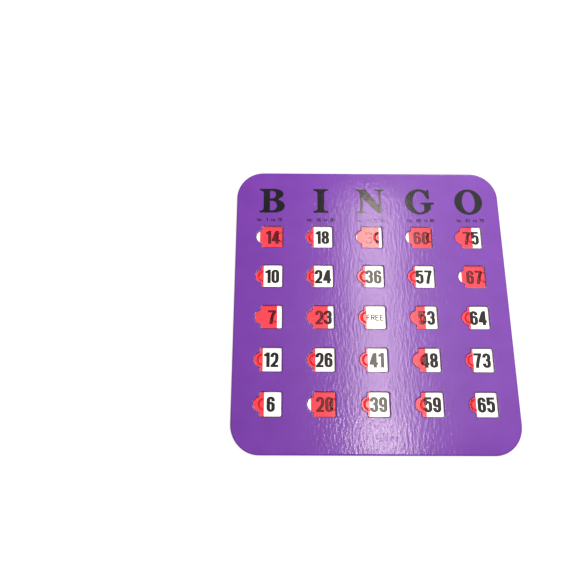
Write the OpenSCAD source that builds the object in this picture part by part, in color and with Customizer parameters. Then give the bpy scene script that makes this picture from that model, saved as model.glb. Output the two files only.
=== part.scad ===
// Shutter-slide bingo card: a laminated board card with twenty-five windows.
// Under each window a thin red shutter slides left and right over the printed number.
// The card lies on its back, face up. The origin is the middle of its back face,
// +Y points to the heading at the top of the card and +X to the right-hand column.

/* [Card] */
// Width of the finished card
card_w = 197; // [190:1:215]
// Height of the finished card
card_h = 202; // [190:1:220]
// Radius of the card's corners, seen from above
corner_r = 20; // [12:1:24]
// Radius of the rolled edge round the face
rim_r = 1.2; // [0.6:0.1:1.2]

/* [Plies] */
// Thickness of the printed, laminated face sheet
face_t = 0.25; // [0.15:0.05:0.4]
// Thickness of the board that the windows are cut in
window_board_t = 0.35; // [0.3:0.05:0.6]
// Thickness of the sheet that carries the numbers
number_t = 0.25; // [0.15:0.05:0.5]
// Thickness of the back board
back_t = 1.8; // [1.2:0.1:2.4]

/* [Windows] */
// Plain border at each side, outside the five equal columns
side_margin = 6.625; // [5:0.125:8]
// Height of the heading band, above the five equal rows
heading_h = 36.1; // [34:0.1:40]
// Plain border under the bottom row
bottom_margin = 17.9; // [14:0.1:22]
// Width of the square part of a window
window_w = 14.8; // [13:0.1:15.2]
// Height of a window
window_h = 15.8; // [14:0.1:16.6]
// Radius of a window's corners
window_corner_r = 1.2; // [0.4:0.1:1.6]
// Radius of the finger notch at the left of a window
notch_r = 4.7; // [4.5:0.1:4.9]
// How far the notch reaches to the left of the window
notch_depth = 4.3; // [3.8:0.1:4.5]
// Radius where the notch runs into the window's left side
notch_fillet = 1.0; // [0.4:0.1:1.2]

/* [Shutters] */
// Thickness of a shutter's sheet
shutter_t = 0.35; // [0.3:0.05:0.45]
// Width of a shutter
shutter_w = 16.4; // [15:0.1:17]
// Height of a shutter, more than the window's so that the board holds it down
shutter_h = 19; // [17.6:0.1:21]
// Radius of a shutter's corners
shutter_corner_r = 0.8; // [0.4:0.1:2]
// Outer radius of the half-ring finger grip
grip_r = 4.3; // [3.8:0.1:4.3]
// Width of the grip's ridge
grip_ridge_w = 1.6; // [1.2:0.1:1.6]
// Height of the ridge over the shutter's sheet
grip_h = 0.65; // [0.55:0.05:0.7]

/* [Spacers] */
// Width of the spacer that closes the left ends of the tracks
left_spacer_w = 3.05; // [2:0.05:5]

/* [Clearances] */
// Gap over and under a shutter in its track
track_gap = 0.1; // [0.08:0.01:0.2]
// Gap above and below a shutter, to the spacers beside its track
side_gap = 0.2; // [0.1:0.05:0.5]
// Gap that is left at each end of a shutter's travel
end_gap = 0.2; // [0.1:0.05:0.3]
// Glue line between the edges of the plies and the sheet wrapped round them
glue_gap = 0.05; // [0.02:0.01:0.1]
// Height of the wrapped edge's cut end over the back of the card
skirt_gap = 0.25; // [0.1:0.05:0.5]

/* [Shutter positions] */
// Top row, columns from left to right: 0 is closed and 1 is fully open
row_1_open = [0, 0.93, 0.12, 0, 0.43]; // [0:0.01:1]
// Second row
row_2_open = [0.92, 0.92, 0.89, 0.92, 0]; // [0:0.01:1]
// Third row
row_3_open = [0.23, 0.27, 0.92, 0.56, 0.89]; // [0:0.01:1]
// Fourth row
row_4_open = [0.9, 0.91, 0.92, 0.67, 0.93]; // [0:0.01:1]
// Bottom row
row_5_open = [0.81, 0, 0.92, 0.8, 0.98]; // [0:0.01:1]

/* [Hidden] */
$fn = 64;
columns = ["b", "i", "n", "g", "o"];
open_share = [row_1_open, row_2_open, row_3_open, row_4_open, row_5_open];
last_column = len(columns) - 1;
last_row = len(open_share) - 1;

// the stack of plies, from the back up
track_t = shutter_t + 2 * track_gap;
number_z = back_t;
track_z = number_z + number_t;
window_board_z = track_z + track_t;
face_z = window_board_z + window_board_t;
card_t = face_z + face_t;

// outline of the space inside the wrapped face sheet, and of the plies glued into it
inner_w = card_w - 2 * face_t;
inner_h = card_h - 2 * face_t;
inner_r = corner_r - face_t;
ply_w = inner_w - 2 * glue_gap;
ply_h = inner_h - 2 * glue_gap;
ply_r = inner_r - glue_gap;
inner_rim_r = rim_r - face_t;

// the notch's circle lies this far to the right of the window's left side
notch_in = notch_r - notch_depth;

// where a shutter's right edge stands, counted to the left from the window's right side
closed_at = end_gap;
open_at = window_w - notch_in + notch_r - grip_r - end_gap;
travel = open_at - closed_at;

// the columns share the width between the side margins, and the rows the height under the heading
column_pitch = (card_w - 2 * side_margin) / len(columns);
row_pitch = (card_h - heading_h - bottom_margin) / len(open_share);

// a track's height, and the ends of all tracks
track_h = shutter_h + 2 * side_gap;
track_left = left_spacer_w - ply_w / 2;
track_right = window_x(last_column) + end_gap;

// how far a cutting solid runs past the face that it cuts
cut_past = 1;

// how far a fillet's circle bites into the notch's, so that the two cross at a clear point
fillet_bite = 0.02;

rail_names = ["spacer_top", "spacer_1_2", "spacer_2_3", "spacer_3_4", "spacer_4_5", "spacer_bottom"];
ply_names = ["back_board", "number_sheet", "window_board", "face_sheet"];
strip_names = ["spacer_left", "spacer_right"];
shutter_names = [for (row = [0 : last_row]) for (column = [0 : last_column]) shutter_name(column, row)];

purple = [0.47, 0.25, 0.65];
board_grey = [0.66, 0.63, 0.6];
number_white = [0.97, 0.96, 0.95];
core_pale = [0.9, 0.89, 0.88];
shutter_red = [0.95, 0.2, 0.25];

// right side of a window in its column, the first one far enough in for its shutter to open
function window_x(column) = track_left + end_gap + shutter_w + open_at + column * column_pitch;

// middle of a window in its row, the top row being 0
function window_y(row) = card_h / 2 - heading_h - (row + 0.5) * row_pitch;

// right edge of a shutter where it stands at rest
function shutter_x(column, row) = window_x(column) - closed_at - open_share[row][column] * travel;

function shutter_name(column, row) = str("shutter_", columns[column], row + 1);

// A rectangle with round corners, centred
module rounded_rect(w, h, r) {
    square([w - 2 * r, h], center = true);
    square([w, h - 2 * r], center = true);
    for (x = [-1, 1], y = [-1, 1])
        translate([x * (w / 2 - r), y * (h / 2 - r)])
            circle(r);
}

// A flat ply with the card's round corners
module ply(t) {
    linear_extrude(t)
        rounded_rect(ply_w, ply_h, ply_r);
}

// Half of a rolled slab's section: a bar whose outer top corner is rounded by edge_r
module rolled_section(reach, t, edge_r) {
    square([reach, t - edge_r]);
    square([reach - edge_r, t]);
    intersection() {
        translate([reach - edge_r, t - edge_r])
            circle(edge_r);
        square([reach, t]);
    }
}

// A slab with round corners and a rolled top edge: a core, four straight edges and four turned corners
module rolled_slab(w, h, r, t, edge_r) {
    straight_x = w - 2 * r;
    straight_y = h - 2 * r;
    translate([-straight_x / 2, -straight_y / 2, 0])
        cube([straight_x, straight_y, t]);
    for (side = [0, 1]) {
        rotate(180 * side)
            translate([straight_x / 2, straight_y / 2, 0])
                rotate([90, 0, 0])
                    linear_extrude(straight_y)
                        rolled_section(r, t, edge_r);
        rotate(90 + 180 * side)
            translate([straight_y / 2, straight_x / 2, 0])
                rotate([90, 0, 0])
                    linear_extrude(straight_x)
                        rolled_section(r, t, edge_r);
    }
    for (x = [-1, 1], y = [-1, 1])
        translate([x * straight_x / 2, y * straight_y / 2, 0])
            rotate(x > 0 ? (y > 0 ? 0 : 270) : (y > 0 ? 90 : 180))
                rotate_extrude(angle = 90)
                    rolled_section(r, t, edge_r);
}

// A window seen from above: rounded square, finger notch, and a fillet where the two meet.
// Its own origin is the middle of its right side.
module window_shape() {
    notch_centre = [notch_in - window_w, 0];
    centre_gap = notch_r + notch_fillet - fillet_bite;
    fillet_y = sqrt(pow(centre_gap, 2) - pow(notch_in + notch_fillet, 2));
    translate([-window_w / 2, 0])
        rounded_rect(window_w, window_h, window_corner_r);
    translate(notch_centre)
        circle(notch_r);
    for (side = [-1, 1]) {
        fillet_centre = [-window_w - notch_fillet, side * fillet_y];
        difference() {
            polygon([notch_centre, [-window_w, side * fillet_y], fillet_centre]);
            translate(fillet_centre)
                circle(notch_fillet);
        }
    }
}

// Everything under the face sheet as one solid block, whose top edge rolls over with the sheet
module rolled_core() {
    rolled_slab(ply_w, ply_h, ply_r, face_z, inner_rim_r);
}

// All windows as cutters, from a height up past the card's face
module window_cutters(from_z) {
    for (row = [0 : last_row], column = [0 : last_column])
        translate([window_x(column), window_y(row), from_z])
            linear_extrude(card_t + cut_past - from_z)
                window_shape();
}

// Plain board under everything, which the card lies on
module back_board() {
    color(board_grey)
        ply(back_t);
}

// White sheet with the printed numbers, under the tracks
module number_sheet() {
    color(number_white)
        translate([0, 0, number_z])
            ply(number_t);
}

// Thin board with the windows, which holds the shutters down by their top and bottom edges
module window_board() {
    color(core_pale)
        difference() {
            intersection() {
                rolled_core();
                translate([-card_w / 2, -card_h / 2, window_board_z])
                    cube([card_w, card_h, window_board_t + cut_past]);
            }
            window_cutters(window_board_z - cut_past);
        }
}

// Printed and laminated sheet over the window board, wrapped round the card's edges
module face_sheet() {
    color(purple)
        difference() {
            translate([0, 0, skirt_gap])
                rolled_slab(card_w, card_h, corner_r, card_t - skirt_gap, rim_r);
            translate([0, 0, -cut_past])
                rolled_slab(inner_w, inner_h, inner_r, face_z + cut_past, inner_rim_r);
            window_cutters(face_z - cut_past);
        }
}

// The part of the track ply between two corners, seen from above
module track_piece(low, high) {
    color(board_grey)
        intersection() {
            rolled_core();
            translate([low.x, low.y, track_z])
                cube([high.x - low.x, high.y - low.y, track_t]);
        }
}

// Spacer between two rows of shutters, or over the top row, or under the bottom row
module spacer_rail(index) {
    top = index == 0 ? card_h / 2 : window_y(index - 1) - track_h / 2;
    bottom = index > last_row ? -card_h / 2 : window_y(index) + track_h / 2;
    track_piece([track_left, bottom], [track_right, top]);
}

// Spacer that closes the left ends of the tracks
module spacer_left() {
    track_piece([-card_w / 2, -card_h / 2], [track_left, card_h / 2]);
}

// Spacer that closes the right ends of the tracks
module spacer_right() {
    track_piece([track_right, -card_h / 2], [card_w / 2, card_h / 2]);
}

// Section of the grip's ridge, or of the groove under it: straight sides and a round top
module arch_section(middle_r, w, straight) {
    translate([middle_r - w / 2, 0])
        square([w, straight]);
    translate([middle_r, straight])
        intersection() {
            circle(d = w);
            translate([-w / 2, 0])
                square([w, w / 2]);
        }
}

// A half ring that bulges to the left, about the middle of the shutter's right edge
module half_ring() {
    rotate(90)
        rotate_extrude(angle = 180)
            children();
}

// Thin plastic shutter, formed in one piece with a hollow half-ring ridge for the fingertip
module shutter(column, row) {
    ridge_top = shutter_t + grip_h;
    middle_r = grip_r - grip_ridge_w / 2;
    groove_w = grip_ridge_w - 2 * shutter_t;
    color(shutter_red)
        translate([shutter_x(column, row), window_y(row), track_z + track_gap])
            difference() {
                union() {
                    linear_extrude(shutter_t)
                        translate([-shutter_w / 2, 0])
                            rounded_rect(shutter_w, shutter_h, shutter_corner_r);
                    half_ring()
                        arch_section(middle_r, grip_ridge_w, ridge_top - grip_ridge_w / 2);
                }
                half_ring()
                    arch_section(middle_r, groove_w, ridge_top - grip_ridge_w / 2);
            }
}

back_board();
number_sheet();
window_board();
face_sheet();
spacer_left();
spacer_right();
for (index = [0 : last_row + 1])
    spacer_rail(index);
for (row = [0 : last_row], column = [0 : last_column])
    shutter(column, row);
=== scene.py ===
import bmesh
import bpy
import numpy as np
from mathutils import Matrix, Vector
from mathutils.geometry import delaunay_2d_cdt


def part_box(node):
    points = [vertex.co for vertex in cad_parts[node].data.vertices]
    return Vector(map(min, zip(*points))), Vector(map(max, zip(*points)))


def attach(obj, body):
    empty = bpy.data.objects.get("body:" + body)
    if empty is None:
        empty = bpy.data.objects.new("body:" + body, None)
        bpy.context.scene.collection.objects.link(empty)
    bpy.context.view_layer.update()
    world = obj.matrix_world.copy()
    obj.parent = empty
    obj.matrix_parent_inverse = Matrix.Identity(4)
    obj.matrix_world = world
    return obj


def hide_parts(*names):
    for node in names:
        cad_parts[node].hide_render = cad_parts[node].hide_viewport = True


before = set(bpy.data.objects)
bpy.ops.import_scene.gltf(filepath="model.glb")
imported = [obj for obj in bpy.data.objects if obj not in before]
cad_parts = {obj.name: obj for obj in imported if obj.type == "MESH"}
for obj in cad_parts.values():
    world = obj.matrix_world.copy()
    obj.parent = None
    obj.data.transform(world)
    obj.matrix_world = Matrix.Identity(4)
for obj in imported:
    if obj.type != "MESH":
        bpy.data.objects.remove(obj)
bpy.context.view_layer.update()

# Back board: plain grey pulp board, which every other ply is glued to.
# It is cut from recycled stock, so it shows fibre flecks and has no coating.
# The spacers that make the tracks are strips of the same board.
MM = 0.001
PULP_PALE = (0.44, 0.405, 0.36, 1)
PULP_FLECK = (0.27, 0.24, 0.21, 1)
FLECK_SPAN = (0.32, 0.5)
FLECKS_PER_M = 900
GRAIN_PER_M = 2600
GRAIN_DEPTH = 0.03
BOARD_ROUGHNESS = 0.85
SPACERS = ["spacer_top", "spacer_1_2", "spacer_2_3", "spacer_3_4", "spacer_4_5", "spacer_bottom",
           "spacer_left", "spacer_right"]


def new_material(name):
    """A new node material: returns it with its node tree and its Principled shader."""
    material = bpy.data.materials.new(name)
    material.use_nodes = True
    tree = material.node_tree
    return material, tree, tree.nodes["Principled BSDF"]


def noise_over(tree, per_metre, stretch=(1, 1, 1), turn=0.0, detail=3.0):
    """Noise on Object coordinates with about per_metre cells to the metre.

    The pattern is turned about Z and its cells are drawn out along an axis where stretch is below 1.
    """
    coordinates = tree.nodes.new("ShaderNodeTexCoord")
    mapping = tree.nodes.new("ShaderNodeMapping")
    mapping.inputs["Scale"].default_value = stretch
    mapping.inputs["Rotation"].default_value = (0, 0, turn)
    texture = tree.nodes.new("ShaderNodeTexNoise")
    texture.inputs["Scale"].default_value = per_metre
    texture.inputs["Detail"].default_value = detail
    tree.links.new(coordinates.outputs["Object"], mapping.inputs["Vector"])
    tree.links.new(mapping.outputs["Vector"], texture.inputs["Vector"])
    return texture.outputs["Fac"]


def ramp_between(tree, factor, low, high, start=0.3, end=0.7):
    """A colour that goes from low to high as factor goes from start to end."""
    ramp = tree.nodes.new("ShaderNodeValToRGB")
    ramp.color_ramp.elements[0].position = start
    ramp.color_ramp.elements[0].color = low
    ramp.color_ramp.elements[1].position = end
    ramp.color_ramp.elements[1].color = high
    tree.links.new(factor, ramp.inputs["Fac"])
    return ramp.outputs["Color"]


def bump_from(tree, height, depth, under=None):
    """A bumped normal whose height runs from 0 to depth millimetres, laid over an earlier one."""
    bump = tree.nodes.new("ShaderNodeBump")
    bump.inputs["Distance"].default_value = depth * MM
    tree.links.new(height, bump.inputs["Height"])
    if under is not None:
        tree.links.new(under, bump.inputs["Normal"])
    return bump.outputs["Normal"]


def paint(node, material):
    """Gives a carried-over CAD node one material."""
    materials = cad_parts[node].data.materials
    materials.clear()
    materials.append(material)


pulp_board, tree, shader = new_material("pulp_board")
flecks = ramp_between(tree, noise_over(tree, FLECKS_PER_M), PULP_FLECK, PULP_PALE, *FLECK_SPAN)
tree.links.new(flecks, shader.inputs["Base Color"])
tree.links.new(bump_from(tree, noise_over(tree, GRAIN_PER_M), GRAIN_DEPTH), shader.inputs["Normal"])
shader.inputs["Roughness"].default_value = BOARD_ROUGHNESS
for node in ["back_board"] + SPACERS:
    paint(node, pulp_board)

# Number sheet: white coated paper glued to the back board, seen through the windows.
# It is smooth and a little glossy, and lies slightly uneven over the glue.
SHEET_WHITE = (0.90, 0.893, 0.872, 1)
SHEET_SHADE = (0.865, 0.857, 0.836, 1)
PAPER_DRIFT_PER_M = 160
PAPER_ROUGHNESS = 0.5
VARNISH_SHARE = 0.18
VARNISH_ROUGHNESS = 0.16
GLUE_SWELL_PER_M = 240
GLUE_SWELL = 0.003


def coated_paper(name, low, high):
    """Printed paper with a faint varnish, whose colour drifts a little between low and high."""
    material, tree, shader = new_material(name)
    drift = ramp_between(tree, noise_over(tree, PAPER_DRIFT_PER_M), low, high)
    tree.links.new(drift, shader.inputs["Base Color"])
    swell = bump_from(tree, noise_over(tree, GLUE_SWELL_PER_M, detail=2), GLUE_SWELL)
    tree.links.new(swell, shader.inputs["Normal"])
    shader.inputs["Roughness"].default_value = PAPER_ROUGHNESS
    shader.inputs["Specular IOR Level"].default_value = 0
    shader.inputs["Coat Weight"].default_value = VARNISH_SHARE
    shader.inputs["Coat Roughness"].default_value = VARNISH_ROUGHNESS
    return material


paint("number_sheet", coated_paper("number_sheet_white", SHEET_SHADE, SHEET_WHITE))

# Printed numbers: heavy condensed figures in black ink on the number sheet, one number to a window.
# Each figure is drawn with a broad pen, thicker in its uprights than in its level parts.
# The middle window is the free square, lettered in light capitals.
COLUMNS = "bingo"
ROWS = range(5)
COLUMN_PITCH = 36.75
ROW_PITCH = 29.6
FIRST_WINDOW = (-63.95, 50.1)
FIGURE_H = 10.1
FIGURE_W = 5.75
ONE_W = 4.0
FIGURE_GAP = 0.45
UPRIGHT_W = 2.45
LEVEL_W = 1.68
FIGURE_PEN = (UPRIGHT_W, LEVEL_W)
ROUND_H = 1.7
NUMBER_AT = (-7.3, -0.1)
CORNER_LIMIT = 0.45
INK_T = 0.012
INK_RISE = 0.003
NUMBER_INK_DEEP = (0.012, 0.012, 0.013, 1)
NUMBER_INK = (0.022, 0.021, 0.022, 1)
NUMBERS = [["14", "18", "31", "60", "75"],
           ["10", "24", "36", "57", "67"],
           ["7", "23", "FREE", "53", "64"],
           ["12", "26", "41", "48", "73"],
           ["6", "20", "39", "59", "65"]]
CAPITAL_SIZE = (2.2, 3.6)
CAPITAL_GAP = 0.95
CAPITAL_PEN = (0.85, 0.85)
NO_GAP = 1e-4
number_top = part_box("number_sheet")[1][2] / MM


def window_at(column, row):
    """Middle of a window's right side, in millimetres."""
    return np.array(FIRST_WINDOW) + (column * COLUMN_PITCH, -row * ROW_PITCH)


def arc(x, y, rx, ry, start, end, steps=18):
    """Points on an ellipse about (x, y), from angle start to angle end in degrees."""
    angle = np.radians(np.linspace(start, end, steps))
    return np.stack([x + rx * np.cos(angle), y + ry * np.sin(angle)], axis=1)


def path_of(*stretches):
    """Points and arcs joined end to end into one path, without doubled points."""
    path = np.concatenate([np.atleast_2d(np.array(stretch, float)) for stretch in stretches])
    moved = np.linalg.norm(np.diff(path, axis=0), axis=1) > NO_GAP
    return path[np.append(True, moved)]


def figure_strokes(figure):
    """Pen paths of one figure about its middle, in millimetres, as (path, closed) pairs."""
    x = (FIGURE_W - UPRIGHT_W) / 2
    y = (FIGURE_H - LEVEL_W) / 2
    end_x = FIGURE_W / 2
    end_y = FIGURE_H / 2
    side_y = y - ROUND_H
    top = arc(0, side_y, x, ROUND_H, 180, 0)
    under = arc(0, -side_y, x, ROUND_H, 0, -180)
    six = path_of((x, 1.9), top[::-1], under[::-1], arc(0, -0.55, x, 1.35, 0, 150))
    return {
        "0": [(path_of(top, under), True)],
        "1": [(path_of((0.82, -end_y), (0.82, end_y)), False),
              (path_of((-2.0, 3.1), arc(-1.6, 5.8, 2.3, 2.7, -88, -40)), False)],
        "2": [(path_of((-x, 1.7), top, arc(0, 1.5, x, 3.6, 0, -42), (-x + 0.2, -y + 0.2)), False),
              (path_of((-end_x + 0.15, -y), (end_x - 0.15, -y)), False)],
        "3": [(path_of((-x, 1.9), top, arc(0, 1.55, x, 1.25, 0, -80), (-0.6, 0.3)), False),
              (path_of((-0.6, 0.3), arc(0, -1.05, x, 1.35, 80, 0), under, (-x, -1.9)), False)],
        "4": [(path_of((1.0, -end_y), (1.0, end_y)), False),
              (path_of((-1.8, -2.1), (0.45, 4.1)), False),
              (path_of((-end_x - 0.1, -2.35), (end_x + 0.1, -2.35)), False)],
        "5": [(path_of((-end_x + 0.1, y), (end_x - 0.25, y)), False),
              (path_of((-x, y), (-x, -0.3)), False),
              (path_of(arc(0, 0.25, x, 1.45, 165, 0), under, (-x, -1.9)), False)],
        "6": [(six, False)],
        "7": [(path_of((-end_x + 0.1, y), (end_x, y)), False),
              (path_of((1.7, 4.0), (0.6, 1.0), (-0.2, -2.2), (-0.55, -end_y)), False)],
        "8": [(path_of(arc(0, 3.0, 0.93 * x, 1.2, 180, 0), arc(0, 1.55, 0.93 * x, 1.2, 0, -180)), True),
              (path_of(arc(0, -1.4, x, 1.3, 180, 0), arc(0, -2.85, x, 1.35, 0, -180)), True)],
        "9": [(-six, False)],
    }[figure]


def capital_strokes(letter):
    """Pen paths of one light capital, 1 wide and 1 high about its middle, as (path, closed) pairs."""
    stem = (path_of((-0.5, -0.5), (-0.5, 0.5)), False)
    bars = [(path_of((-0.5, 0.5), (0.5, 0.5)), False), (path_of((-0.5, 0.02), (0.36, 0.02)), False)]
    bowl = (path_of((-0.5, 0.5), arc(0.1, 0.26, 0.36, 0.24, 90, -90), (-0.5, 0.02)), False)
    return {
        "F": [stem] + bars,
        "R": [stem, bowl, (path_of((0.05, 0.02), (0.5, -0.5)), False)],
        "E": [stem] + bars + [(path_of((-0.5, -0.5), (0.5, -0.5)), False)],
    }[letter]


def pen_edges(path, closed, pen):
    """Left and right edges of a path drawn with an elliptical pen of the width and height given.

    In the pen's own space, where the pen is a unit circle, each point moves out along the mean normal
    of the runs before and after it, further at a corner so that the edges stay parallel, up to a limit.
    """
    half = np.array(pen) / 2
    unit = path / half
    before = unit - np.roll(unit, 1, axis=0)
    after = np.roll(unit, -1, axis=0) - unit
    if not closed:
        before[0] = after[0]
        after[-1] = before[-1]
    before = before / np.linalg.norm(before, axis=1, keepdims=True)
    after = after / np.linalg.norm(after, axis=1, keepdims=True)
    mean = before + after
    mean = mean / np.linalg.norm(mean, axis=1, keepdims=True)
    reach = 1 / np.clip(np.sum(mean * after, axis=1, keepdims=True), CORNER_LIMIT, 1)
    out = np.stack([-mean[:, 1], mean[:, 0]], axis=1) * reach
    return (unit + out) * half, (unit - out) * half


def at_height(outline, z):
    """Points of a flat outline, all at one height."""
    return np.column_stack([outline, np.full(len(outline), z)])


def strip(rows, closed):
    """Quads between neighbouring rows of points, each row closed on itself if asked: (points, faces)."""
    count, length = rows.shape[:2]
    row, point = np.meshgrid(np.arange(count - 1), np.arange(length - (not closed)), indexing="ij")
    following = (point + 1) % length
    here = row * length
    there = here + length
    faces = np.stack([here + point, here + following, there + following, there + point], axis=-1)
    return rows.reshape(-1, 3), faces.reshape(-1, 4)


def inked(path, closed, pen, z, order):
    """One pen stroke as a ribbon of ink: a four-sided ring carried along the path, with capped ends.

    It is INK_T thick, and thicker by INK_RISE for each stroke drawn before it and along its own length,
    so that ink drawn later lies on top.
    """
    left, right = pen_edges(path, closed, pen)
    along = order + (0 if closed else np.linspace(0, 1, len(path)))
    high = z + INK_T + INK_RISE * along
    ring = np.stack([at_height(left, high), at_height(right, high), at_height(right, z), at_height(left, z),
                     at_height(left, high)])
    points, faces = strip(ring, closed)
    if closed:
        return points, faces
    starts = np.arange(4) * len(path)
    caps = np.stack([starts, starts[::-1] + len(path) - 1])
    return points, np.concatenate([faces, caps])


def piece_from(name, parts, material, closed=True, smooth=False):
    """A mesh piece at the origin from parts, each of points in millimetres and faces.

    Its doubled points are merged, and a closed piece has its faces turned outwards.
    """
    sizes = [len(points) for points, faces in parts]
    firsts = np.cumsum([0] + sizes[:-1])
    faces = [face for first, part in zip(firsts, parts) for face in (part[1] + first).tolist()]
    mesh = bpy.data.meshes.new(name)
    mesh.from_pydata((np.concatenate([points for points, _ in parts]) * MM).tolist(), [], faces)
    work = bmesh.new()
    work.from_mesh(mesh)
    bmesh.ops.remove_doubles(work, verts=work.verts, dist=NO_GAP * MM)
    if closed:
        bmesh.ops.recalc_face_normals(work, faces=work.faces)
    work.to_mesh(mesh)
    work.free()
    mesh.polygons.foreach_set("use_smooth", np.full(len(mesh.polygons), smooth))
    mesh.materials.append(material)
    piece = bpy.data.objects.new(name, mesh)
    bpy.context.collection.objects.link(piece)
    return piece


def line_of_strokes(text, strokes, widths, gap, at, scale, pen, z):
    """Ribbons of a line of figures or letters of the widths given, a gap apart and centred on a point."""
    steps = np.array(widths) + gap
    middles = np.cumsum(steps) - steps / 2 - steps.sum() / 2
    return [inked(path * scale + at + (middle, 0), closed, pen, z, order)
            for sign, middle in zip(text, middles) for order, (path, closed) in enumerate(strokes(sign))]


number_ink = coated_paper("number_ink", NUMBER_INK_DEEP, NUMBER_INK)
for row in ROWS:
    for column, text in enumerate(NUMBERS[row]):
        at = window_at(column, row) + NUMBER_AT
        if text == "FREE":
            widths = [CAPITAL_SIZE[0]] * len(text)
            ribbons = line_of_strokes(text, capital_strokes, widths, CAPITAL_GAP, at, CAPITAL_SIZE,
                                      CAPITAL_PEN, number_top)
        else:
            widths = [ONE_W if figure == "1" else FIGURE_W for figure in text]
            ribbons = line_of_strokes(text, figure_strokes, widths, FIGURE_GAP, at, 1, FIGURE_PEN, number_top)
        piece = piece_from(f"number_{COLUMNS[column]}{row + 1}", ribbons, number_ink)
        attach(piece, "card")

# Shutters: thin see-through red plastic, each pressed in one piece with a hollow half-ring ridge
# at its right edge for the fingertip. They lie loose in the tracks over the number sheet.
# The see-through tint is painted darker where the ridge's sides stand steep, as painted shade.
SHUTTER_T = 0.35
SHUTTER_CORNER = 0.8
GRIP_R = 4.3
RIDGE_W = 1.6
RIDGE_H = 0.65
CREASE_ANGLE = 50
CORNER_STEPS = 6
PLATE_STEPS = 8
MARGIN_STEPS = 5
GRIP_STEPS = (36, 64)
RED_TINT = (0.975, 0.475, 0.54, 1)
RED_DEEP = (0.80, 0.020, 0.040, 1)
RED_BODY = (0.90, 0.030, 0.050, 1)
RED_DRIFT_PER_M = 300
BODY_SHARE = 0.05
BODY_ROUGHNESS = 0.14
GLOSS_SHARE = 0.017
GLOSS_ROUGHNESS = 0.17
PAINTED_STEEP_SHADE = (0.68, 0.14, 0.18, 1)
STEEP_SHADE_SPAN = (0.6, 0.99)
PRESSED_SWELL_PER_M = 110
PRESSED_SWELL = 0.06


def level_share(tree):
    """How level the surface lies: 1 where it is level and 0 where it stands upright."""
    slope = tree.nodes.new("ShaderNodeTexCoord")
    upness = tree.nodes.new("ShaderNodeSeparateXYZ")
    share = tree.nodes.new("ShaderNodeMath")
    share.operation = "ABSOLUTE"
    tree.links.new(slope.outputs["Normal"], upness.inputs["Vector"])
    tree.links.new(upness.outputs["Z"], share.inputs[0])
    return share.outputs["Value"]


red_plastic, tree, shader = new_material("red_plastic")
drift = ramp_between(tree, noise_over(tree, RED_DRIFT_PER_M), RED_DEEP, RED_BODY)
tree.links.new(drift, shader.inputs["Base Color"])
swell = bump_from(tree, noise_over(tree, PRESSED_SWELL_PER_M, detail=1), PRESSED_SWELL)
tree.links.new(swell, shader.inputs["Normal"])
shader.inputs["Roughness"].default_value = BODY_ROUGHNESS
clear = tree.nodes.new("ShaderNodeBsdfTransparent")
# Painted shade: the see-through tint turns dark red where the surface stands steep, on the ridge's sides.
tint = ramp_between(tree, level_share(tree), PAINTED_STEEP_SHADE, RED_TINT, *STEEP_SHADE_SPAN)
tree.links.new(tint, clear.inputs["Color"])
gloss = tree.nodes.new("ShaderNodeBsdfGlossy")
gloss.inputs["Roughness"].default_value = GLOSS_ROUGHNESS
tree.links.new(swell, gloss.inputs["Normal"])
body = tree.nodes.new("ShaderNodeMixShader")
body.inputs["Fac"].default_value = BODY_SHARE
facing = tree.nodes.new("ShaderNodeNewGeometry")
outer_gloss = tree.nodes.new("ShaderNodeMapRange")
outer_gloss.inputs["To Min"].default_value = GLOSS_SHARE
outer_gloss.inputs["To Max"].default_value = 0
tree.links.new(facing.outputs["Backfacing"], outer_gloss.inputs["Value"])
surface = tree.nodes.new("ShaderNodeMixShader")
tree.links.new(outer_gloss.outputs["Result"], surface.inputs["Fac"])
tree.links.new(clear.outputs["BSDF"], body.inputs[1])
tree.links.new(shader.outputs["BSDF"], body.inputs[2])
tree.links.new(body.outputs["Shader"], surface.inputs[1])
tree.links.new(gloss.outputs["BSDF"], surface.inputs[2])
tree.links.new(surface.outputs["Shader"], tree.nodes["Material Output"].inputs["Surface"])


def smooth_step(value):
    """0 below 0, 1 above 1, and a cubic with level ends between."""
    value = np.clip(value, 0, 1)
    return value * value * (3 - 2 * value)


def pressed_sheet(low, high):
    """Under side of a pressed shutter as a grid over its plate, drawn in at the round corners.

    Height = sheet + ridge(r), where r is the distance from the middle of the right edge, and the ridge
    rises to the middle of the half ring and falls again by cubics with level ends.
    """
    right = high[0]
    middle = (low[1] + high[1]) / 2
    half = (high[1] - low[1]) / 2
    grip = GRIP_R + RIDGE_W / 4
    x = np.concatenate([low[0] + SHUTTER_CORNER * np.linspace(0, 1, CORNER_STEPS) ** 2,
                        np.linspace(low[0] + SHUTTER_CORNER, right - grip, PLATE_STEPS)[1:-1],
                        np.linspace(right - grip, right, GRIP_STEPS[0])])
    y = np.concatenate([np.linspace(-half, -grip, MARGIN_STEPS)[:-1],
                        np.linspace(-grip, grip, GRIP_STEPS[1]),
                        np.linspace(grip, half, MARGIN_STEPS)[1:]])
    x, y = np.meshgrid(x, y, indexing="ij")
    inward = np.clip(SHUTTER_CORNER - np.minimum(x - low[0], right - x), 0, SHUTTER_CORNER)
    drawn_in = SHUTTER_CORNER - np.sqrt(SHUTTER_CORNER ** 2 - inward ** 2)
    y = y * (1 - drawn_in / half * smooth_step((np.abs(y) - grip) / (half - grip)))
    r = np.hypot(x - right, y)
    rise = smooth_step(2 * np.minimum(GRIP_R - r, r - GRIP_R + RIDGE_W) / RIDGE_W)
    return np.stack([x, y + middle, low[2] + RIDGE_H * rise], axis=-1)


def rim_of(grid):
    """The outer points of a grid, once round."""
    return np.concatenate([grid[:, 0], grid[-1, 1:], grid[-2::-1, -1], grid[0, -2:0:-1]])


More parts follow.
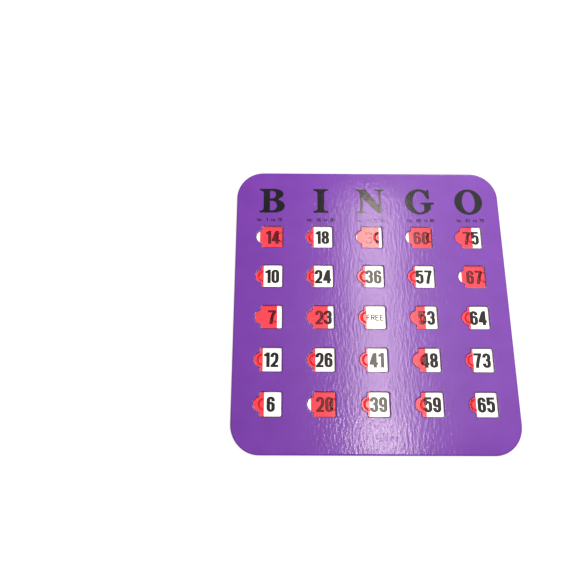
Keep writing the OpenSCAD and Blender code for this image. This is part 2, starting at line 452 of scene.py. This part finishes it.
for row in ROWS:
    for letter in COLUMNS:
        node = f"shutter_{letter}{row + 1}"
        low, high = (np.array(corner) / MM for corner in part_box(node))
        under = pressed_sheet(low, high)
        top = under + (0, 0, SHUTTER_T)
        edge = np.stack([rim_of(under), rim_of(top)])
        piece = piece_from(f"{node}_pressed", [strip(under, False), strip(top, False), strip(edge, True)],
                           red_plastic, smooth=True)
        piece.data.set_sharp_from_angle(angle=np.radians(CREASE_ANGLE))
        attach(piece, node)
        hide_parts(node)

# Window board: thin pale board glued under the face sheet and die-cut with the sheet already on it.
# Only the cut walls of its windows show.
CORE_SHADE = (0.66, 0.645, 0.62, 1)
CORE_PALE = (0.80, 0.79, 0.77, 1)
cut_wall, tree, shader = new_material("cut_wall")
flecks = ramp_between(tree, noise_over(tree, FLECKS_PER_M), CORE_SHADE, CORE_PALE)
tree.links.new(flecks, shader.inputs["Base Color"])
tree.links.new(bump_from(tree, noise_over(tree, GRAIN_PER_M), GRAIN_DEPTH), shader.inputs["Normal"])
shader.inputs["Roughness"].default_value = BOARD_ROUGHNESS
paint("window_board", cut_wall)

# Face sheet: purple printed paper under a clear gloss film, wrapped round the card's rolled edge.
# The die presses it into a soft roll round each window, where the print is painted darker as shade,
# and the film lies over the print in fine upright ripples.
CARD_CORNER = 20.0
RIM_R = 1.2
FACE_T = 0.25
WINDOW_W = 14.8
WINDOW_H = 15.8
WINDOW_CORNER = 1.05
NOTCH_R = 4.7
NOTCH_DEPTH = 4.3
NOTCH_FILLET = 0.98
CORNER_POINTS = 8
NOTCH_POINTS = 30
CARD_CORNER_POINTS = 40
ROLL_ROWS = 7
ROLL_W = 0.92
ROLL_POWER = 1.9
LEVEL_BAND = 0.05
PURPLE_DEEP = (0.110, 0.021, 0.252, 1)
PURPLE = (0.122, 0.025, 0.276, 1)
# Painted shade: the dark purple the print is mixed towards down each window's roll.
PAINTED_ROLL_SHADE = (0.040, 0.010, 0.075, 1)
ROLL_SHADE_FULL_AT = 0.25
PRINT_DRIFT_PER_M = 70
PRINT_ROUGHNESS = 0.4
PRINT_SHEEN = 0.09
FILM_IOR = 1.25
FILM_ROUGHNESS = 0.145
SWELL_PER_M = 26
SWELL = 0.06
RIPPLES_PER_M = 600
RIPPLE = 0.1
RIPPLE_STRETCH = (1, 0.36, 1)
RIPPLE_TURN = -0.4
STREAKS_PER_M = 1500
STREAK = 0.006
TRIANGLES_INSIDE = 1
MEETING_GAP = 1e-6
face_low, face_high = (np.array(corner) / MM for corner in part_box("face_sheet"))
face_top = face_high[2]


def laminate(name, low, high, sheen, ripple, streak):
    """Print with a soft sheen under a clear gloss film: returns the material, its tree and its print colour.

    A slow swell runs through both. Ripples and fine streaks of the depths given run through the film alone.
    """
    material, tree, shader = new_material(name)
    print_colour = ramp_between(tree, noise_over(tree, PRINT_DRIFT_PER_M, detail=2), low, high)
    tree.links.new(print_colour, shader.inputs["Base Color"])
    swell = bump_from(tree, noise_over(tree, SWELL_PER_M, detail=1), SWELL)
    ripples = bump_from(tree, noise_over(tree, RIPPLES_PER_M, RIPPLE_STRETCH, RIPPLE_TURN, 2), ripple, swell)
    film = bump_from(tree, noise_over(tree, STREAKS_PER_M, RIPPLE_STRETCH, RIPPLE_TURN, 2), streak, ripples)
    tree.links.new(swell, shader.inputs["Normal"])
    tree.links.new(film, shader.inputs["Coat Normal"])
    shader.inputs["Roughness"].default_value = PRINT_ROUGHNESS
    shader.inputs["Specular IOR Level"].default_value = sheen
    shader.inputs["Coat Weight"].default_value = 1.0
    shader.inputs["Coat IOR"].default_value = FILM_IOR
    shader.inputs["Coat Roughness"].default_value = FILM_ROUGHNESS
    return material, tree, print_colour


def window_outline(offset):
    """A window's outline pushed out by offset, counter-clockwise about the middle of its right side.

    Its arcs in turn: top right corner, top left corner, upper fillet, notch, lower fillet, bottom left
    corner and bottom right corner. The fillets are where the notch's circle runs into the left side.
    """
    notch_in = NOTCH_R - NOTCH_DEPTH
    fillet_x = notch_in + NOTCH_FILLET
    fillet_y = np.sqrt((NOTCH_R + NOTCH_FILLET) ** 2 - fillet_x ** 2)
    meet = np.degrees(np.arctan2(fillet_y, fillet_x))
    side_y = WINDOW_H / 2 - WINDOW_CORNER
    left_x = WINDOW_CORNER - WINDOW_W
    corner = WINDOW_CORNER + offset
    fillet = NOTCH_FILLET - offset
    notch = NOTCH_R + offset
    return np.concatenate([
        arc(-WINDOW_CORNER, side_y, corner, corner, 0, 90, CORNER_POINTS),
        arc(left_x, side_y, corner, corner, 90, 180, CORNER_POINTS),
        arc(-WINDOW_W - NOTCH_FILLET, fillet_y, fillet, fillet, 0, -meet, CORNER_POINTS),
        arc(notch_in - WINDOW_W, 0, notch, notch, 180 - meet, 180 + meet, NOTCH_POINTS)[1:-1],
        arc(-WINDOW_W - NOTCH_FILLET, -fillet_y, fillet, fillet, meet, 0, CORNER_POINTS),
        arc(left_x, -side_y, corner, corner, 180, 270, CORNER_POINTS),
        arc(-WINDOW_CORNER, -side_y, corner, corner, 270, 360, CORNER_POINTS),
    ])


def card_outline(inset):
    """The card's outline drawn in by inset, counter-clockwise: four corner arcs, joined by straight sides."""
    x = face_high[0] - CARD_CORNER
    y = face_high[1] - CARD_CORNER
    r = CARD_CORNER - inset
    quarters = ((1, 1, 0), (-1, 1, 90), (-1, -1, 180), (1, -1, 270))
    return np.concatenate([arc(side_x * x, side_y * y, r, r, start, start + 90, CARD_CORNER_POINTS)
                           for side_x, side_y, start in quarters])


def filled(loops):
    """Triangles over the area between closed outlines, holes left open: (flat points, faces).

    A triangle stays if a level line from its middle to the right crosses the outlines an odd number of times.
    """
    sizes = np.array([len(loop) for loop in loops])
    index = np.arange(sizes.sum())
    lasts = np.cumsum(sizes) - 1
    following = index + 1
    following[lasts] = lasts + 1 - sizes
    start = np.concatenate(loops)
    run = start[following] - start
    outline = [Vector(point) for point in start.tolist()]
    edges = np.stack([index, following], axis=1).tolist()
    result = delaunay_2d_cdt(outline, edges, [], TRIANGLES_INSIDE, MEETING_GAP)
    points = np.array([tuple(point) for point in result[0]])
    faces = np.array(result[2])
    middle = points[faces].mean(axis=1)[:, None]
    passed = (start[:, 1] > middle[..., 1]) != (start[following, 1] > middle[..., 1])
    gap = (middle - start) * run[:, ::-1]
    to_right = (gap[..., 0] - gap[..., 1]) * np.sign(run[:, 1]) < 0
    return points, faces[np.sum(passed & to_right, axis=1) % 2 == 1]


turn = np.radians(np.linspace(0, 90, ROLL_ROWS))
rim_rows = [(RIM_R + LEVEL_BAND, face_top)]
rim_rows += list(zip(RIM_R * (1 - np.sin(turn)), face_top - RIM_R * (1 - np.cos(turn))))
rim_rows += [(0, face_low[2])]
rolled = np.linspace(0, 1, ROLL_ROWS)
roll_rows = [(ROLL_W + LEVEL_BAND, face_top)]
roll_rows += list(zip(ROLL_W * (1 - rolled), face_top - FACE_T * rolled ** ROLL_POWER))
rim = np.stack([at_height(card_outline(inset), z) for inset, z in rim_rows[::-1]])
roll = np.stack([at_height(window_outline(offset), z) for offset, z in roll_rows])
windows = [np.append(window_at(column, row), 0) for row in ROWS for column in range(len(COLUMNS))]
flat_points, flat_faces = filled([card_outline(RIM_R + LEVEL_BAND)] +
                                 [window_outline(ROLL_W + LEVEL_BAND) + window[:2] for window in windows])
face_parts = [strip(rim, True)] + [strip(roll + window, True) for window in windows]
face_parts.append((at_height(flat_points, face_top), flat_faces))
purple_print, tree, print_colour = laminate("purple_print", PURPLE_DEEP, PURPLE, PRINT_SHEEN, RIPPLE, STREAK)
# Painted shade: the print's colour is mixed towards a dark purple by how far the sheet has rolled down at a
# window.
pressed = tree.nodes.new("ShaderNodeAttribute")
pressed.attribute_name = "pressed"
roll_shaded_print = tree.nodes.new("ShaderNodeMix")
roll_shaded_print.data_type = "RGBA"
roll_shaded_print.inputs["B"].default_value = PAINTED_ROLL_SHADE
tree.links.new(pressed.outputs["Fac"], roll_shaded_print.inputs["Factor"])
tree.links.new(print_colour, roll_shaded_print.inputs["A"])
tree.links.new(roll_shaded_print.outputs["Result"], tree.nodes["Principled BSDF"].inputs["Base Color"])
piece = piece_from("face_sheet_printed", face_parts, purple_print, closed=False, smooth=True)
points = np.empty(3 * len(piece.data.vertices))
piece.data.vertices.foreach_get("co", points)
x, y, z = points.reshape(-1, 3).T / MM
in_window = (np.abs(x) < face_high[0] - RIM_R) & (np.abs(y) < face_high[1] - CARD_CORNER)
# The "pressed" share is a painted shade mask: 0 on the level face and the card's rim, full a quarter of the
# way down a window's roll.
depth = np.where(in_window, np.clip((face_top - z) / (ROLL_SHADE_FULL_AT * FACE_T), 0, 1), 0)
piece.data.attributes.new("pressed", "FLOAT", "POINT").data.foreach_set("value", depth)
sheet_wall = piece.modifiers.new("sheet", "SOLIDIFY")
sheet_wall.thickness = FACE_T * MM
sheet_wall.offset = -1
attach(piece, "card")
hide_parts("face_sheet")

# Column heads: the five heavy slab-serif capitals of the game, printed in black under the film.
# Their outlines are plain arcs and straight runs, thick in the stems and thin in the serifs.
# The film lies flatter over the heavy ink, with a finer grain.
HEAD_Y = 68.9
HEAD_H = 19.0
HEAD_INK_DEEP = (0.003, 0.003, 0.004, 1)
HEAD_INK = (0.007, 0.0065, 0.008, 1)
HEAD_RIPPLE = 0.045
HEAD_STREAK = 0.03
HEAD_X = {"B": -81.4, "I": -40.9, "N": -8.9, "G": 28.1, "O": 65.4}


def head_outlines(letter):
    """Outer outline and holes of one column head, from its own lower left corner, in millimetres."""
    h = HEAD_H
    return {
        "B": [path_of((0, 0), arc(11.4, 5.3, 7.6, 5.3, -90, 66), (14.1, 10.6),
                      arc(11.0, 14.8, 7.0, 4.2, -60, 90), (0, h), (0, 17.6), (1.5, 17.4), (2.6, 16.6),
                      (3.0, 15.6), (3.0, 3.4), (2.6, 2.4), (1.5, 1.6), (0, 1.4)),
              path_of((7.8, 11.3), arc(9.3, 14.3, 2.9, 3.0, -90, 90), (7.8, 17.3)),
              path_of((7.8, 1.8), arc(9.5, 5.55, 3.5, 3.75, -90, 90), (7.8, 9.3))],
        "I": [path_of((0, 0), (11, 0), (11, 1.4), (9.6, 1.6), (8.5, 2.4), (8.1, 3.4), (8.1, 15.6),
                      (8.5, 16.6), (9.6, 17.4), (11, 17.6), (11, h), (0, h), (0, 17.6), (1.5, 17.4),
                      (2.6, 16.6), (3.0, 15.6), (3.0, 3.4), (2.6, 2.4), (1.5, 1.6), (0, 1.4))],
        "N": [path_of((0.3, 0), (7.1, 0), (7.1, 1.0), (5.5, 1.5), (5.0, 2.4), (5.0, 12.1), (16.2, -0.2),
                      (18.9, -0.2), (18.9, 16.6), (19.5, 17.6), (21.5, 18.0), (21.5, h), (14.2, h),
                      (14.2, 18.0), (16.5, 17.6), (17.2, 16.6), (17.2, 5.9), (7.5, h), (0, h), (0, 18.0),
                      (1.6, 17.4), (3.1, 15.6), (3.1, 2.4), (2.5, 1.5), (0.3, 1.0))],
        "G": [path_of((18.4, 11.4), (18.4, 18.9), (17.3, 18.9), (16.7, 17.9),
                      arc(10.6, 9.2, 10.6, 10.15, 57, 325, 60), (19.3, 6.2), (19.7, 6.9), (21.7, 7.2),
                      (21.7, 8.6), (11.6, 8.6), (11.6, 7.2), (13.8, 6.9), (14.3, 6.2),
                      arc(11.1, 9.1, 5.2, 8.4, -53, -328, 50), (16.9, 11.4))],
        "O": [arc(10.5, 9.2, 10.5, 10.15, 0, 354, 60), arc(10.6, 9.2, 4.75, 8.3, 0, 354, 60)],
    }[letter]


def inked_area(outlines, z):
    """An inked area INK_T thick between outlines: its top, its under side and its walls, as parts."""
    points, faces = filled(outlines)
    walls = [strip(np.stack([at_height(loop, z), at_height(loop, z + INK_T)]), True) for loop in outlines]
    return [(at_height(points, z + INK_T), faces), (at_height(points, z), faces)] + walls


head_ink, _, _ = laminate("head_ink", HEAD_INK_DEEP, HEAD_INK, 0, HEAD_RIPPLE, HEAD_STREAK)
for letter, left in HEAD_X.items():
    outlines = [loop + (left, HEAD_Y) for loop in head_outlines(letter)]
    piece = piece_from(f"head_{letter.lower()}", inked_area(outlines, face_top), head_ink)
    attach(piece, "card")

# Column captions: each column's range of numbers in small thin print under its head.
# They are printed with the heads, in the same black, and the film lies over them.
CAPTION_Y = 63.3
CAPTION_X = [-73.8, -35.5, 2.0, 39.1, 76.1]
CAPTION_W = 1.2
CAPTION_GAP = 0.52
CAPTION_FIGURE = (0.32, 0.25)
CAPTION_LETTER = (1.15, 2.1)
CAPTION_PEN = (0.58, 0.48)
CAPTIONS = ["No. 1 to 15", "No. 16 to 30", "No. 31 to 45", "No. 46 to 60", "No. 61 to 75"]


def caption_strokes(sign):
    """Pen paths of one small figure or letter about its middle, in millimetres, as (path, closed) pairs."""
    letters = {
        "N": [(path_of((-0.5, -0.5), (-0.5, 0.5), (0.5, -0.5), (0.5, 0.5)), False)],
        "o": [(path_of(arc(0, -0.16, 0.46, 0.34, 0, 345, 20)), True)],
        "t": [(path_of((0, -0.5), (0, 0.4)), False), (path_of((-0.38, 0.16), (0.38, 0.16)), False)],
        ".": [(path_of((-0.15, -0.45), (0.15, -0.45)), False)],
        " ": [],
    }
    if sign in letters:
        return [(path * CAPTION_LETTER, closed) for path, closed in letters[sign]]
    return [(path * CAPTION_FIGURE, closed) for path, closed in figure_strokes(sign)]


for letter, text, middle in zip(COLUMNS, CAPTIONS, CAPTION_X):
    at = np.array([middle, CAPTION_Y])
    widths = [CAPTION_W] * len(text)
    ribbons = line_of_strokes(text, caption_strokes, widths, CAPTION_GAP, at, 1, CAPTION_PEN, face_top)
    piece = piece_from(f"caption_{letter}", ribbons, head_ink)
    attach(piece, "card")

# Floor, light and camera: a white table under a strip light, a wide soft panel and a lamp beyond the heads.
# The strip hangs where the film mirrors it as the pale band down the middle of the card, and it is
# brighter at its near end. A lamp's row is its place, size, brightness, tint and whether it faces the card.
FLOOR_HALF = 3.0
FLOOR_DROP = 0.0002
FLOOR_SHOWN = 0.8
ROOM_LIGHT = 0.27
ROOM_TINT = (0.96, 1.0, 1.05, 1)
BACKDROP_WHITE = (1, 1, 1, 1)
TABLE_COLOUR = (0.95, 0.95, 0.94, 1)
TABLE_ROUGHNESS = 0.9
TABLE_SHINE = (1, 1, 0.99, 1)
WATTS_PER_BRIGHTNESS = 4
LAMPS = {"strip": ((0.1975, 0.105, 1.0), (0.115, 0.75), 29.5, (1.0, 0.89, 0.80), False),
         "strip_end": ((0.1975, -0.22, 0.99), (0.115, 0.12), 17.0, (1.0, 0.92, 0.80), False),
         "panel": ((0.635, 0.195, 1.0), (0.73, 0.81), 1.4, (1.0, 1.0, 1.0), False),
         "far": ((0.25, 0.58, 0.5), (0.4, 0.3), 9.8, (1.0, 1.0, 0.97), True)}
LENS_F = 470.76
FRAME_PX = 576
AXIS_RISE_PX = 30
SENSOR_MM = 36
NEAREST_SEEN = 0.01
LOOK_AT = (-0.059889, 0.033911, 0.0032)
AZIMUTH = -1.1195
ELEVATION = 76.04
ROLL = 1.3756
DISTANCE = 0.34397


def seen_rays(tree):
    """1 for rays that show the background: from the camera, a mirror or through glass. 0 for light itself."""
    rays = tree.nodes.new("ShaderNodeLightPath")
    total = rays.outputs["Is Camera Ray"]
    for kind in ("Is Glossy Ray", "Is Transmission Ray"):
        plus = tree.nodes.new("ShaderNodeMath")
        plus.use_clamp = True
        tree.links.new(total, plus.inputs[0])
        tree.links.new(rays.outputs[kind], plus.inputs[1])
        total = plus.outputs["Value"]
    return total


world = bpy.data.worlds.new("room")
bpy.context.scene.world = world
world.use_nodes = True
tree = world.node_tree
room = tree.nodes["Background"]
room.inputs["Color"].default_value = ROOM_TINT
room.inputs["Strength"].default_value = ROOM_LIGHT
backdrop = tree.nodes.new("ShaderNodeBackground")
backdrop.inputs["Color"].default_value = BACKDROP_WHITE
mix = tree.nodes.new("ShaderNodeMixShader")
tree.links.new(seen_rays(tree), mix.inputs["Fac"])
tree.links.new(room.outputs["Background"], mix.inputs[1])
tree.links.new(backdrop.outputs["Background"], mix.inputs[2])
tree.links.new(mix.outputs["Shader"], tree.nodes["World Output"].inputs["Surface"])

table_white, tree, shader = new_material("table_white")
shader.inputs["Base Color"].default_value = TABLE_COLOUR
shader.inputs["Roughness"].default_value = TABLE_ROUGHNESS
shader.inputs["Specular IOR Level"].default_value = 0
shine = tree.nodes.new("ShaderNodeEmission")
shine.inputs["Color"].default_value = TABLE_SHINE
share = tree.nodes.new("ShaderNodeMath")
share.operation = "MULTIPLY"
share.inputs[1].default_value = FLOOR_SHOWN
mix = tree.nodes.new("ShaderNodeMixShader")
tree.links.new(seen_rays(tree), share.inputs[0])
tree.links.new(share.outputs["Value"], mix.inputs["Fac"])
tree.links.new(shader.outputs["BSDF"], mix.inputs[1])
tree.links.new(shine.outputs["Emission"], mix.inputs[2])
tree.links.new(mix.outputs["Shader"], tree.nodes["Material Output"].inputs["Surface"])
floor_corners = np.array([[-1, -1], [1, -1], [1, 1], [-1, 1]]) * FLOOR_HALF / MM
floor_part = (at_height(floor_corners, -FLOOR_DROP / MM), np.array([[0, 1, 2, 3]]))
floor = piece_from("floor", [floor_part], table_white, closed=False)

for name, (place, size, brightness, tint, faces_card) in LAMPS.items():
    lamp = bpy.data.lights.new(name, "AREA")
    lamp.shape = "RECTANGLE"
    lamp.size, lamp.size_y = size
    lamp.energy = WATTS_PER_BRIGHTNESS * brightness * size[0] * size[1]
    lamp.color = tint
    lamp_object = bpy.data.objects.new(name, lamp)
    lamp_object.location = place
    if faces_card:
        lamp_object.rotation_euler = Vector(place).to_track_quat("Z", "Y").to_euler()
    bpy.context.collection.objects.link(lamp_object)

azimuth, elevation, roll = np.radians([AZIMUTH, ELEVATION, ROLL])
back = np.array([np.sin(azimuth) * np.cos(elevation), -np.cos(azimuth) * np.cos(elevation),
                 np.sin(elevation)])
level = np.array([np.cos(azimuth), np.sin(azimuth), 0])
upright = np.cross(back, level)
right = np.cos(roll) * level + np.sin(roll) * upright
up = np.cos(roll) * upright - np.sin(roll) * level
camera = bpy.data.cameras.new("camera")
camera.sensor_width = SENSOR_MM
camera.lens = LENS_F / FRAME_PX * SENSOR_MM
camera.shift_y = -AXIS_RISE_PX / FRAME_PX
camera.clip_start = NEAREST_SEEN
camera_object = bpy.data.objects.new("camera", camera)
stand = np.eye(4)
stand[:3] = np.column_stack([right, up, back, np.array(LOOK_AT) + DISTANCE * back])
camera_object.matrix_world = Matrix(stand.tolist())
bpy.context.collection.objects.link(camera_object)
bpy.context.scene.camera = camera_object
bpy.context.scene.view_settings.view_transform = "Standard"
